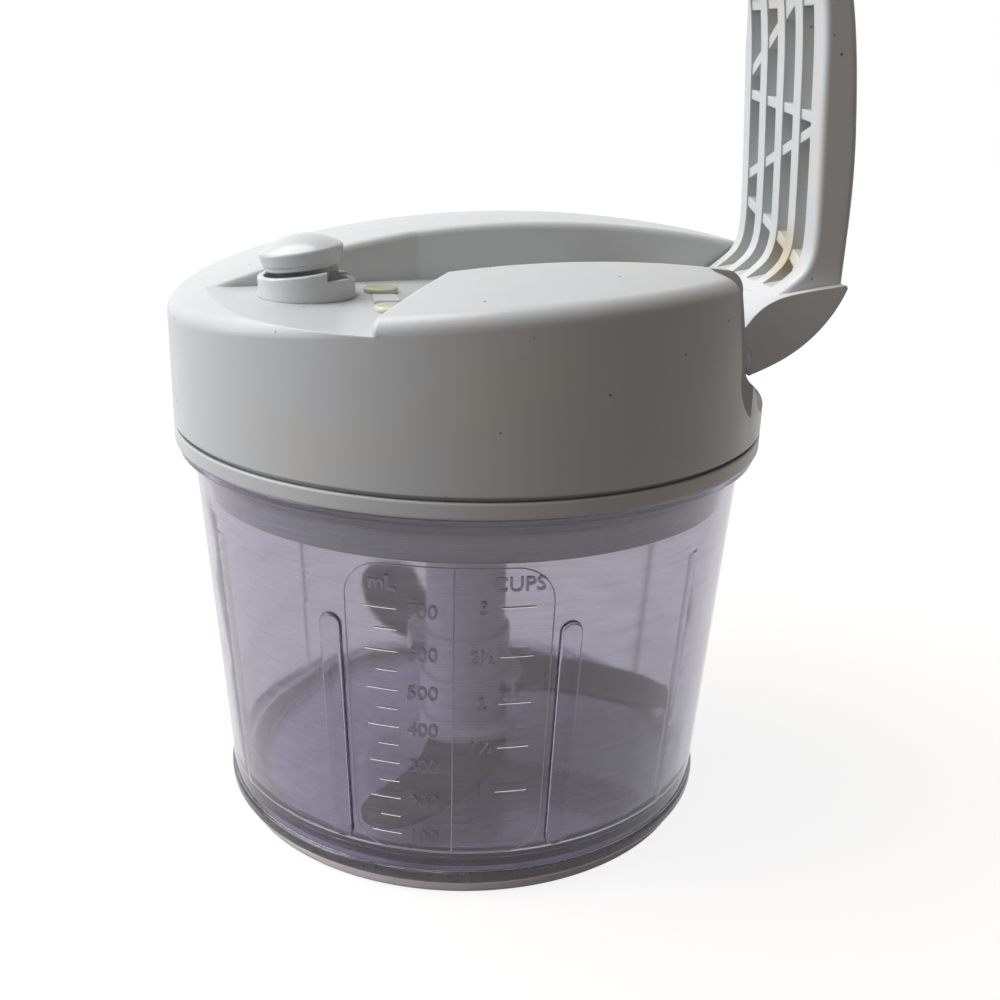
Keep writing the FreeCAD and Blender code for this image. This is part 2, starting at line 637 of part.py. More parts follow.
cheek_t = 2.0
cheek_near_y = gear_y0 - 1.2 - cheek_t
cheek_far_y = gear_y0 + gear_w + 1.2
export("idler_pin", ycyl(gear_pin_r, cheek_near_y, cheek_far_y + cheek_t, idler_x, idler_z))

cross_pinion = spur_y(n_cross, cross_phase, 0.0, cross_z, gear_y0, gear_y0 + gear_w, backlash)
cross_pinion = cross_pinion.cut(ycyl(gear_pin_r, gear_y0 - 1, gear_y0 + gear_w + 1, 0.0, cross_z))
export("cross_pinion", cross_pinion)

# crown wheel: radial rack teeth that mesh with the upright pinion at its lowest point
r_pinion = mod * n_pinion / 2.0
r_crown = mod * n_crown / 2.0
plane_y = -r_pinion
crown_root_y = plane_y - ded_k * mod
crown_back_y = crown_root_y - 3.0
crown = ycyl(r_crown + crown_face / 2, crown_back_y, crown_root_y, 0.0, cross_z)
slope = math.tan(math.radians(press_deg))
teeth = []
for k in range(n_crown):
    r0 = r_crown - crown_face / 2
    r1 = r_crown + crown_face / 2
    half_pitch = math.pi * mod / 4.0 - backlash / 2.0
    sections = []
    for rad in (r0, r1):
        scale = rad / r_crown
        wide = (half_pitch + ded_k * mod * slope) * scale
        thin = (half_pitch - add_k * mod * slope) * scale
        ring_pts = [V(-wide, crown_root_y - 0.3, -rad), V(wide, crown_root_y - 0.3, -rad),
                    V(thin, plane_y + add_k * mod, -rad), V(-thin, plane_y + add_k * mod, -rad)]
        sections.append(Part.makePolygon(ring_pts + ring_pts[:1]))
    tooth = Part.makeLoft(sections, True, True)
    tooth.rotate(V(0, 0, 0), V(0, 1, 0), 360.0 * k / n_crown)
    tooth.translate(V(0, 0, cross_z))
    teeth.append(tooth)
crown = crown.fuse(teeth).removeSplitter()
crown = crown.fuse(ycyl(4.5, crown_back_y - 0.9, crown_back_y + 0.5, 0.0, cross_z)).removeSplitter()
crown = crown.cut(ycyl(gear_pin_r, crown_back_y - 2, 0.0, 0.0, cross_z))
export("crown_wheel", crown)
export("cross_shaft", ycyl(gear_pin_r, cheek_near_y - 1.0, crown_root_y - 0.2, 0.0, cross_z))

# upright output shaft with its pinion, and the socket that turns the blades
pin_z0 = cross_z - r_crown - crown_face / 2 - 0.6
pin_z1 = cross_z - r_crown + crown_face / 2 + 0.6
phase = math.radians(-90.0 + 180.0 / n_pinion)
cp, sp = math.cos(phase), math.sin(phase)
pin_pts = [(cp * u - sp * v, sp * u + cp * v) for u, v in gear_outline(n_pinion, backlash)]
bore_r = 1.8
pinion = prism_xy(pin_pts, pin_z0, pin_z1).cut(cyl(bore_r, pin_z0 - 1, pin_z1 + 1))
export("output_pinion", pinion)
shaft_top = pin_z1 + 5.0
shaft = cyl(shaft_r, socket_z0 + 9.5, pin_z0 - 0.0).fuse(cyl(bore_r, pin_z0 - 1, shaft_top)).removeSplitter()
export("output_shaft", shaft)
socket = cyl(socket_r, socket_z0, plug_z0 - 0.5)
hex_pocket_top = socket_z0 + 8.5
socket = socket.cut(hexagon(hex_head_af + 2 * hex_gap, socket_z0 - 1, hex_pocket_top))
socket = socket.cut(cyl(shaft_r, socket_z0 + 9.5, plug_z0))
export("drive_socket", socket)
clip_z = base_top + 3.0 + 0.2
export("shaft_clip", tube(shaft_r + 2.0, shaft_r, clip_z, clip_z + 0.8))

# ======================================================== gear bracket and shaft bridge
bracket_x0 = -9.0
bracket_x1 = idler_x + 4.5
top_z = idler_z + 4.5
foot_t = 2.0
cheek = [(bracket_x0, base_top), (bracket_x1, base_top), (bracket_x1, top_z), (idler_x - 6, top_z),
         (6.0, cross_z + 4.5), (-6.0, cross_z + 4.5), (bracket_x0, cross_z - 4)]
bracket = prism_xz(cheek, cheek_near_y, cheek_near_y + cheek_t)
bracket = bracket.fuse(prism_xz(cheek, cheek_far_y, cheek_far_y + cheek_t))
bracket = bracket.fuse(box(bracket_x0, bracket_x1, cheek_near_y - 5, cheek_far_y + cheek_t, base_top, base_top + foot_t))
bracket = bracket.removeSplitter()
bracket = bracket.cut(ycyl(gear_pin_r + run, cheek_near_y - 1, cheek_far_y + cheek_t + 1, 0.0, cross_z))
bracket = bracket.cut(ycyl(gear_pin_r, cheek_near_y - 1, cheek_far_y + cheek_t + 1, idler_x, idler_z))
bracket_holes = [(bracket_x0 + 3.5, cheek_near_y - 2.5), (bracket_x1 - 3.5, cheek_near_y - 2.5)]
for x, y in bracket_holes:
    bracket = bracket.cut(cyl(1.1, base_top - 1, base_top + foot_t + 1, x, y))
export("gear_bracket", bracket)

bridge_z = pin_z1 + 0.8
leg_in = r_pinion + add_k * mod + 2.2
bridge_y0 = plane_y + add_k * mod + 0.6
bridge = box(-leg_in - 6, leg_in + 6, bridge_y0, bridge_y0 + 8.5, base_top, base_top + foot_t)
bridge = bridge.fuse(box(-leg_in - 2, -leg_in, bridge_y0, bridge_y0 + 8.5, base_top, bridge_z + 2))
bridge = bridge.fuse(box(leg_in, leg_in + 2, bridge_y0, bridge_y0 + 8.5, base_top, bridge_z + 2))
bridge = bridge.fuse(box(-leg_in - 2, leg_in + 2, bridge_y0, bridge_y0 + 8.5, bridge_z, bridge_z + 2)).removeSplitter()
bridge = bridge.cut(cyl(shaft_r + 3.8, base_top - 1, bridge_z - 0.5))
bridge = bridge.cut(cyl(bore_r + run, bridge_z - 1, bridge_z + 3))
bridge_holes = [(-leg_in - 4, bridge_y0 + 4.2), (leg_in + 4, bridge_y0 + 4.2)]
for x, y in bridge_holes:
    bridge = bridge.cut(cyl(1.1, base_top - 1, base_top + foot_t + 1, x, y))
export("shaft_bridge", bridge)
rivets = []
for x, y in bracket_holes + bridge_holes:
    rivets.append(cyl(1.1, base_top, base_top + foot_t, x, y).fuse(
        cyl(1.9, base_top + foot_t, base_top + foot_t + 1.0, x, y)).removeSplitter())
export("frame_rivets", Part.makeCompound(rivets))

# ======================================================== blade assembly
hub_z0 = boss_top + 0.4
hub = cyl(hub_r, 20.0, hub_top_z)
hub = hub.fuse(Part.makeCone(hub_r - 1.0, hub_r, 20.0 - hub_z0, V(0, 0, hub_z0)))
hub = hub.fuse(hexagon(hex_head_af, hub_top_z - 0.5, hex_pocket_top - 0.5)).removeSplitter()
hub = hub.cut(cyl(post_r + run, hub_z0 - 1, post_top + 0.3))
blade_z0 = hub_z0 + blade_rise
blade_list = [("blade_lower", blade_z0, -124.0), ("blade_middle", blade_z0 + blade_step, -24.0),
              ("blade_upper", blade_z0 + 2 * blade_step, 105.0)]
edge_out = [(13.0, 75.0), (19.2, 56.0), (29.7, 34.0), (39.7, 21.0), (blade_tip_r - 2.4, 9.0), (blade_tip_r, 4.0)]
edge_in = [(blade_tip_r - 1.8, -1.0), (48.0, -4.0), (40.4, -4.5), (29.0, -2.0), (19.0, -6.0), (13.0, -20.0)]


def polar(pts, z):
    return [V(r * math.cos(math.radians(a)), r * math.sin(math.radians(a)), z) for r, a in pts]


def curve_of(vecs):
    c = Part.BSplineCurve()
    c.interpolate(vecs)
    return c.toShape()


for name, z, az in blade_list:
    lead_pts = polar(edge_out, z)
    trail_pts = polar(edge_in, z)
    wires = [curve_of(lead_pts), Part.makeLine(lead_pts[-1], trail_pts[0]), curve_of(trail_pts)]
    root_a = V(0, -6.0, z)
    root_b = V(0, 6.0, z)
    wires += [Part.makeLine(trail_pts[-1], root_a), Part.makeLine(root_a, root_b), Part.makeLine(root_b, lead_pts[0])]
    blade = Part.Face(Part.Wire(wires)).extrude(V(0, 0, blade_t))
    blade = blade.cut(cyl(hub_r - 3.6, z - 1, z + blade_t + 1))
    blade.rotate(V(0, 0, 0), V(0, 0, 1), az)
    collar_pad = cyl(hub_r + 1.2, max(z - 2.4, hub_z0), z + blade_t + 2.4)
    wedge = prism_xy([(0, 0), (30, -9), (30, 22), (0, 20)], z - 2.0, z + blade_t + 2.0)
    wedge.rotate(V(0, 0, 0), V(0, 0, 1), az)
    arm = cyl(hub_r + 4.6, max(z - 2.0, hub_z0), z + blade_t + 2.0).common(wedge)
    hub = hub.fuse([collar_pad, arm])
    hub = hub.cut(cyl(post_r + run, hub_z0 - 1, post_top + 0.3))
    hub = hub.cut(blade)
    blade = blade.removeSplitter()
    export(name, blade)
bush_len = 8.0
bush_r = post_r + 1.6
for name, z in (("hub_bush_lower", hub_z0), ("hub_bush_upper", post_top - bush_len - 1.0)):
    hub = hub.cut(cyl(bush_r, z, z + bush_len))
    export(name, tube(bush_r, post_r + run, z, z + bush_len))
hub = hub.removeSplitter()
solids = sorted(hub.Solids, key=lambda s: -s.Volume)
export("blade_hub", solids[0])

# ======================================================== latch button
cap_z0 = floor_z + collar_h + cap_gap
cap_z1 = cap_z0 + 3.7
dome_rise = 2.95
dome_r = (cap_r ** 2 + dome_rise ** 2) / (2 * dome_rise)
cap = cyl(cap_r, cap_z1, cap_z1 + dome_rise, knob_x, knob_y)
cap = cap.fuse(Part.makeCone(cap_r - 0.45, cap_r, cap_z1 - cap_z0 - 1.1, V(knob_x, knob_y, cap_z0 + 1.1))).removeSplitter()
ball = Part.makeSphere(dome_r, V(knob_x, knob_y, cap_z1 + dome_rise - dome_r))
cap = cap.common(ball).removeSplitter()
crown_edge = [e for e in cap.Edges if e.BoundBox.XLength > cap_r and e.BoundBox.ZMin > cap_z1 - 0.5]
cap = cap.makeFillet(0.7, crown_edge)
skirt = cyl(cap_r - 0.75, cap_z0, cap_z0 + 1.1, knob_x, knob_y)
skirt = skirt.makeFillet(0.3, [e for e in skirt.Edges if e.BoundBox.ZMax < cap_z0 + 0.01])
cap = cap.fuse(skirt).removeSplitter()
stem = box(knob_x - 5.6, knob_x + 5.0, knob_y - 4.0, knob_y + 4.0, floor_z + 1.45, cap_z0 + 0.5)
hook = box(knob_x + 5.0, knob_x + 7.0, knob_y - 1.6, knob_y + 1.6, floor_z + 4.4, cap_z0 + 0.5)
button = cap.fuse([stem, hook]).removeSplitter()
button = button.cut(ycyl(latch_pin_r + run, knob_y - 6, knob_y + 6, rock_x, rock_z))
button.rotate(V(rock_x, 0, rock_z), V(0, 1, 0), -rock_deg)
export("latch_button", button)
export("latch_pin", ycyl(latch_pin_r, knob_y - pin_half, knob_y + pin_half, rock_x, rock_z))
washer_h = 1.2
export("latch_spring", tube(3.2, 2.2, floor_z, floor_z + washer_h, knob_x + 3.4, knob_y))
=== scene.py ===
import bpy
import math
from mathutils import Matrix, Vector


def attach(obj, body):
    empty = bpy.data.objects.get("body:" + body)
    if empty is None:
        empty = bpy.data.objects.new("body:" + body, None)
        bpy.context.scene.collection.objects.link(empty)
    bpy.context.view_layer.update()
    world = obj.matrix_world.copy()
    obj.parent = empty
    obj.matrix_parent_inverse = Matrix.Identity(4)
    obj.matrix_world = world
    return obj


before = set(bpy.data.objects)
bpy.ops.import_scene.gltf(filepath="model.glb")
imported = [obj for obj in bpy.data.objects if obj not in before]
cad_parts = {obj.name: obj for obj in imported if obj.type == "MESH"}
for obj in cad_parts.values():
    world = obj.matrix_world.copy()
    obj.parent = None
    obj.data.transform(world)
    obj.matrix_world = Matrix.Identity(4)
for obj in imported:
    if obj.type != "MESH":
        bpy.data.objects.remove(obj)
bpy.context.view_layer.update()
mm = 0.001
print("frame loaded:", len(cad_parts), "solids")


def linear(hexColour):
    parts = [int(hexColour[i:i + 2], 16) / 255 for i in (1, 3, 5)]
    return [p / 12.92 if p <= 0.04045 else ((p + 0.055) / 1.055) ** 2.4 for p in parts] + [1.0]


def addNode(tree, kind, sets=None, links=None, **options):
    node = tree.nodes.new(kind)
    for key, value in options.items():
        setattr(node, key, value)
    for key, value in (sets or {}).items():
        node.inputs[key].default_value = value
    for key, source in (links or {}).items():
        tree.links.new(source, node.inputs[key])
    return node


def blankMaterial(name):
    material = bpy.data.materials.new(name)
    material.use_nodes = True
    material.node_tree.nodes.clear()
    return material, material.node_tree


def paint(material, *names):
    for name in names:
        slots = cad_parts[name].data.materials
        slots.clear()
        slots.append(material)
        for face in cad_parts[name].data.polygons:
            face.material_index = 0


# moulded plastics: ABS housings, acetal gears and the soft parts share one build, its wear and its painted
# shade and highlights;
# From and To are where each mark starts and where it is at its full strength
wearAndPaintedLight = {
    "agedFrom": 0.55, "agedTo": 0.8, "agedDetail": 4.0, "cloudDetail": 3.0,
    "rubAndHighlightFrom": 0.995, "rubAndHighlightTo": 0.80, "speckCore": 0.4,
    "grimeAndShadeFrom": 0.55, "grimeAndShadeTo": 0.12, "cornerRays": 6, "edgeRays": 6,
    "stainCore": 0.45, "stainFrom": 0.35, "stainTo": 0.6,
    "crumbSpacing": 4, "crumbFrom": 0.2, "crumbTo": 0.1, "crumbAbove": 0.55,
    "wipeMm": 9, "wipeFrom": 0.3, "wipeTo": 0.7, "smoother": 0.05, "rougher": 0.08,
    "waveMm": 14, "waveHighMm": 0.25, "waveStrength": 0.35, "grainHighMm": 0.04,
}


def mouldedPlastic(name, look):
    material, tree = blankMaterial(name)
    place = addNode(tree, "ShaderNodeTexCoord").outputs["Object"]
    # slow change of tone, as wide as a hand's touch
    cloud = addNode(tree, "ShaderNodeTexNoise",
                    {"Scale": 1 / (look["cloudMm"] * mm), "Detail": wearAndPaintedLight["cloudDetail"]}, {"Vector": place})
    tone = addNode(tree, "ShaderNodeMix", {6: linear(look["base"]), 7: linear(look["shade"])},
                   {0: cloud.outputs[0]}, data_type="RGBA")
    # old plastic yellows in patches
    patch = addNode(tree, "ShaderNodeTexNoise",
                    {"Scale": 1 / (look["agedMm"] * mm), "Detail": wearAndPaintedLight["agedDetail"]}, {"Vector": place})
    patchMask = addNode(tree, "ShaderNodeMapRange",
                        {"From Min": wearAndPaintedLight["agedFrom"], "From Max": wearAndPaintedLight["agedTo"],
                         "To Max": look["agedAmount"]},
                        {"Value": patch.outputs[0]})
    aged = addNode(tree, "ShaderNodeMix", {7: linear(look["aged"])},
                   {0: patchMask.outputs[0], 6: tone.outputs[2]}, data_type="RGBA")
    # rounded edges: the normal turns over the edge radius, and the same turn paints every edge lighter,
    # partly rubbed wear and partly a painted highlight
    edge = addNode(tree, "ShaderNodeBevel", {"Radius": look["edgeMm"] * mm}, samples=wearAndPaintedLight["edgeRays"])
    flat = addNode(tree, "ShaderNodeNewGeometry").outputs["Normal"]
    turn = addNode(tree, "ShaderNodeVectorMath", None, {0: edge.outputs[0], 1: flat}, operation="DOT_PRODUCT")
    edgeRubAndHighlight = addNode(tree, "ShaderNodeMapRange",
                     {"From Min": wearAndPaintedLight["rubAndHighlightFrom"], "From Max": wearAndPaintedLight["rubAndHighlightTo"], "To Max": look["rubAndHighlightAmount"]},
                     {"Value": turn.outputs["Value"]})
    wornAndLit = addNode(tree, "ShaderNodeMix", {7: linear(look["rubAndHighlight"])},
                   {0: edgeRubAndHighlight.outputs[0], 6: aged.outputs[2]}, data_type="RGBA")
    # specks of dirt: one dark dot in some of the cells
    cells = addNode(tree, "ShaderNodeTexVoronoi", {"Scale": 1 / (look["speckGapMm"] * mm), "Randomness": 1.0},
                    {"Vector": place})
    dotSize = look["speckMm"] / look["speckGapMm"]
    dot = addNode(tree, "ShaderNodeMapRange", {"From Min": dotSize, "From Max": wearAndPaintedLight["speckCore"] * dotSize},
                  {"Value": cells.outputs["Distance"]})
    chosen = addNode(tree, "ShaderNodeMath", {1: 1.0 - look["speckShare"]}, {0: cells.outputs["Color"]},
                     operation="GREATER_THAN")
    speck = addNode(tree, "ShaderNodeMath", None, {0: dot.outputs[0], 1: chosen.outputs[0]},
                    operation="MULTIPLY")
    dirty = addNode(tree, "ShaderNodeMix", {7: linear(look["speck"])},
                    {0: speck.outputs[0], 6: wornAndLit.outputs[2]}, data_type="RGBA")
    # grime and painted shade where two walls close in: an occlusion node darkens crevices, grooves and
    # corners
    corner = addNode(tree, "ShaderNodeAmbientOcclusion", {"Distance": look["grimeAndShadeMm"] * mm},
                     samples=wearAndPaintedLight["cornerRays"])
    closed = addNode(tree, "ShaderNodeMapRange",
                     {"From Min": wearAndPaintedLight["grimeAndShadeFrom"], "From Max": wearAndPaintedLight["grimeAndShadeTo"],
                      "To Max": look["grimeAndShadeAmount"]},
                     {"Value": corner.outputs["AO"]})
    grimyAndShaded = addNode(tree, "ShaderNodeMix", {7: linear(look["grimeAndShade"])},
                    {0: closed.outputs[0], 6: dirty.outputs[2]}, data_type="RGBA")
    colour = grimyAndShaded.outputs[2]
    for spot, reachMm, tint, amount, crumbMm in look.get("stains", []):
        # a stain or a scatter of crumbs that fades with distance from one spot
        away = addNode(tree, "ShaderNodeVectorMath", {1: [v * mm for v in spot]}, {0: place},
                       operation="DISTANCE")
        near = addNode(tree, "ShaderNodeMapRange",
                       {"From Min": reachMm * mm, "From Max": wearAndPaintedLight["stainCore"] * reachMm * mm,
                        "To Max": amount},
                       {"Value": away.outputs["Value"]})
        if crumbMm:
            crumbs = addNode(tree, "ShaderNodeTexVoronoi",
                             {"Scale": 1 / (wearAndPaintedLight["crumbSpacing"] * crumbMm * mm)}, {"Vector": place})
            pattern = addNode(tree, "ShaderNodeMapRange",
                              {"From Min": wearAndPaintedLight["crumbFrom"], "From Max": wearAndPaintedLight["crumbTo"]},
                              {"Value": crumbs.outputs["Distance"]})
            kept = addNode(tree, "ShaderNodeMath", {1: wearAndPaintedLight["crumbAbove"]}, {0: crumbs.outputs["Color"]},
                           operation="GREATER_THAN")
            both = addNode(tree, "ShaderNodeMath", None, {0: pattern.outputs[0], 1: kept.outputs[0]},
                           operation="MULTIPLY")
        else:
            both = addNode(tree, "ShaderNodeMapRange",
                           {"From Min": wearAndPaintedLight["stainFrom"], "From Max": wearAndPaintedLight["stainTo"]},
                           {"Value": patch.outputs[0]})
        share = addNode(tree, "ShaderNodeMath", None, {0: near.outputs[0], 1: both.outputs[0]},
                        operation="MULTIPLY")
        colour = addNode(tree, "ShaderNodeMix", {7: linear(tint)}, {0: share.outputs[0], 6: colour},
                         data_type="RGBA").outputs[2]
    # dull and shiny patches in the roughness
    wipe = addNode(tree, "ShaderNodeTexNoise",
                   {"Scale": 1 / (wearAndPaintedLight["wipeMm"] * mm), "Detail": 6.0, "Roughness": 0.65}, {"Vector": place})
    rough = addNode(tree, "ShaderNodeMapRange",
                    {"From Min": wearAndPaintedLight["wipeFrom"], "From Max": wearAndPaintedLight["wipeTo"],
                     "To Min": look["rough"] - wearAndPaintedLight["smoother"], "To Max": look["rough"] + wearAndPaintedLight["rougher"]},
                    {"Value": wipe.outputs[0]})
    # fine grain of the mould, drawn about twice as coarse as it is so that it shows
    grain = addNode(tree, "ShaderNodeTexNoise", {"Scale": 1 / (look["grainMm"] * mm), "Detail": 2.0},
                    {"Vector": place})
    # a wall never cools quite flat
    wave = addNode(tree, "ShaderNodeTexNoise", {"Scale": 1 / (wearAndPaintedLight["waveMm"] * mm), "Detail": 1.0},
                   {"Vector": place})
    soft = addNode(tree, "ShaderNodeBump",
                   {"Strength": wearAndPaintedLight["waveStrength"], "Distance": wearAndPaintedLight["waveHighMm"] * mm},
                   {"Height": wave.outputs[0], "Normal": edge.outputs[0]})
    bump = addNode(tree, "ShaderNodeBump",
                   {"Strength": look["grainDepth"], "Distance": wearAndPaintedLight["grainHighMm"] * mm},
                   {"Height": grain.outputs[0], "Normal": soft.outputs[0]})
    surface = addNode(tree, "ShaderNodeBsdfPrincipled", {"IOR": look["ior"], "Metallic": 0.0},
                      {"Base Color": colour, "Roughness": rough.outputs[0], "Normal": bump.outputs[0]})
    if look.get("through"):
        surface.inputs["Transmission Weight"].default_value = look["through"]
    addNode(tree, "ShaderNodeOutputMaterial", None, {"Surface": surface.outputs[0]})
    return material


# ABS, injection moulded and satin: even light grey, soft highlights, faint yellowing with age
absLook = {
    "base": "#c4c6c6", "shade": "#bbbdbe", "aged": "#c6c0ac", "agedAmount": 0.5, "cloudMm": 45, "agedMm": 28,
    # rub: a lighter rim on every rounded edge, partly rubbed wear and partly painted highlight
    "rubAndHighlight": "#e2e3e2", "rubAndHighlightAmount": 0.35, "edgeMm": 0.5, "speck": "#3c3630", "speckMm": 0.42, "speckGapMm": 8,
    "speckShare": 0.75, "rough": 0.33, "grainMm": 0.5, "grainDepth": 0.25, "ior": 1.53,
    # grime: grime and painted shade in crevices, grooves and corners, darkened by occlusion
    "grimeAndShade": "#3a3122", "grimeAndShadeMm": 1.8, "grimeAndShadeAmount": 0.85,
}
# crumbs and dust lie on the channel floor round the latch and by the bumpers;
# each row: place and reach in mm, colour, strength, crumb size in mm or 0 for an even stain
lidStains = [
    ((-38.0, -20.0, 124.0), 19.0, "#4b4035", 0.9, 0.55),
    ((-28.0, -17.0, 124.5), 8.0, "#33291f", 0.95, 0.6),
    ((-40.0, -27.0, 125.0), 14.0, "#8f877c", 0.3, 0),
]
absGrey = mouldedPlastic("absMouldedGrey", dict(absLook, stains=lidStains))
# the latch is rubbed shinier by fingers
absLatch = mouldedPlastic("absMouldedLatch", dict(
    absLook, base="#cbcdce", shade="#c3c5c6", rough=0.2, speckShare=0.3))
# grease has soaked into the ribs above the hinge
leverStains = [
    ((64.5, -24.0, 134.5), 8.0, "#b9a776", 0.6, 0),
    ((63.0, -30.0, 131.5), 6.0, "#b0a27c", 0.5, 0),
]
# the lever's grey is painted lighter than the lid's, a lit copy of the same ABS for the light falling on its
# ribs
absLever = mouldedPlastic("absMouldedLever", dict(
    absLook, base="#cfd1d1", shade="#c8caca", aged="#cfc6a6", agedMm=18, edgeMm=0.45, stains=leverStains))
# acetal, moulded: waxy natural white with a close, slippery surface
acetalWhite = mouldedPlastic("acetalMouldedWhite", dict(
    absLook, base="#e6e4dc", shade="#dddbd2", aged="#d9d3bd", rough=0.3,
    grainDepth=0.1, ior=1.48, edgeMm=0.25))
# polypropylene, moulded: pale grey hub that has taken a stain from food
propyleneGrey = mouldedPlastic("polypropyleneMouldedGrey", dict(
    absLook, base="#b0adb3", shade="#a5a2a8", aged="#aaa498", rough=0.42, ior=1.49, edgeMm=0.5))
# soft PVC, moulded: matt pale beige, grubby from the worktop
pvcBeige = mouldedPlastic("softPvcBeige", dict(
    absLook, base="#ebe5e3", shade="#dfd9d7", aged="#a89f92", agedAmount=0.6, agedMm=12, rough=0.6,
    grainDepth=0.5, ior=1.52, speckShare=0.25))
# silicone rubber, moulded: matt and soft grey
siliconeGrey = mouldedPlastic("siliconeMouldedGrey", dict(
    absLook, base="#c9c8cc", shade="#bdbcc2", rough=0.5, ior=1.41))
# polyurethane rubber, cast: pale amber, cloudy and a little see-through
bumperAmber = mouldedPlastic("polyurethaneCastAmber", dict(
    absLook, base="#dedcc6", shade="#d5d2b6", aged="#c4bc8e", agedAmount=0.5, agedMm=4, rough=0.2, ior=1.5,
    through=0.2, speckShare=0.2, speckGapMm=2.5, speckMm=0.2, grimeAndShade="#a39a6a", grimeAndShadeMm=0.8, grimeAndShadeAmount=0.3))


def drawnMetal(name, look):
    material, tree = blankMaterial(name)
    place = addNode(tree, "ShaderNodeTexCoord").outputs["Object"]
    turned = addNode(tree, "ShaderNodeMapping", {"Scale": look["stretch"]}, {"Vector": place})
    lines = addNode(tree, "ShaderNodeTexNoise",
                    {"Scale": 1 / (look["lineMm"] * mm), "Detail": 5.0, "Roughness": 0.7},
                    {"Vector": turned.outputs[0]})
    stain = addNode(tree, "ShaderNodeTexNoise", {"Scale": 1 / (look["stainMm"] * mm), "Detail": 4.0},
                    {"Vector": place})
    tone = addNode(tree, "ShaderNodeMix", {6: linear(look["base"]), 7: linear(look["dark"])},
                   {0: lines.outputs[0]}, data_type="RGBA")
    mask = addNode(tree, "ShaderNodeMapRange",
                   {"From Min": look["stainFrom"], "From Max": look["stainTo"],
                    "To Max": look["stainAmount"]},
                   {"Value": stain.outputs[0]})
    stained = addNode(tree, "ShaderNodeMix", {7: linear(look["stain"])},
                      {0: mask.outputs[0], 6: tone.outputs[2]}, data_type="RGBA")
    smooth, coarse = look["rough"]
    rough = addNode(tree, "ShaderNodeMapRange", {"To Min": smooth, "To Max": coarse},
                    {"Value": lines.outputs[0]})
    edge = addNode(tree, "ShaderNodeBevel", {"Radius": look["edgeMm"] * mm}, samples=look["edgeRays"])
    bump = addNode(tree, "ShaderNodeBump",
                   {"Strength": look["lineStrength"], "Distance": look["lineHighMm"] * mm},
                   {"Height": lines.outputs[0], "Normal": edge.outputs[0]})
    surface = addNode(tree, "ShaderNodeBsdfPrincipled", {"Metallic": 1.0, "Anisotropic": look["grainPull"]},
                      {"Base Color": stained.outputs[2], "Roughness": rough.outputs[0],
                       "Normal": bump.outputs[0]})
    addNode(tree, "ShaderNodeOutputMaterial", None, {"Surface": surface.outputs[0]})
    return material


# stainless steel strip, brushed, with fine lines along the sheet; its dark grey is partly dull dirty steel
# and partly painted shade inside the closed bowl
bladeLook = {
    "base": "#4b4a4f", "dark": "#333237", "stain": "#4b4843", "stainMm": 11, "stainAmount": 0.5,
    "stainFrom": 0.5, "stainTo": 0.75, "rough": (0.26, 0.48), "stretch": (0.12, 6.0, 6.0),
    "lineMm": 1.2, "lineHighMm": 0.02, "lineStrength": 0.4, "grainPull": 0.4, "edgeMm": 0.15, "edgeRays": 4,
}
bladeSteel = drawnMetal("stainlessBrushed", bladeLook)
# zinc plated steel, pressed: cool grey with a slight bloom
zincSteel = drawnMetal("zincPlatedPressed", dict(
    bladeLook, base="#b4b6b8", dark="#9a9c9f", stain="#a8a391", rough=(0.34, 0.56)))
# spring wire and ground pins: darker and smoother
pinSteel = drawnMetal("steelGround", dict(
    bladeLook, base="#a9a9ab", dark="#8b8b8e", rough=(0.20, 0.42), lineMm=0.5))


# the bowl: SAN, injection moulded, clear with a violet tint, dulled by years of washing
sanLook = {
    "tint": "#d4d3d7", "absorb": "#a499d0", "density": 80.0, "shade": "#f3f1f6", "ior": 1.57,
    "rough": 0.01, "hazeRough": 0.06, "hazeMm": 16, "hazeFrom": 0.35, "hazeTo": 0.75,
    "clear": 0.97, "scratched": 0.25, "scratchFrom": 0.5, "scratchTo": 0.72,
    "scratchMm": 0.5, "scratchRound": 3.0, "scratchHighMm": 0.02, "scratchStrength": 0.25,
}


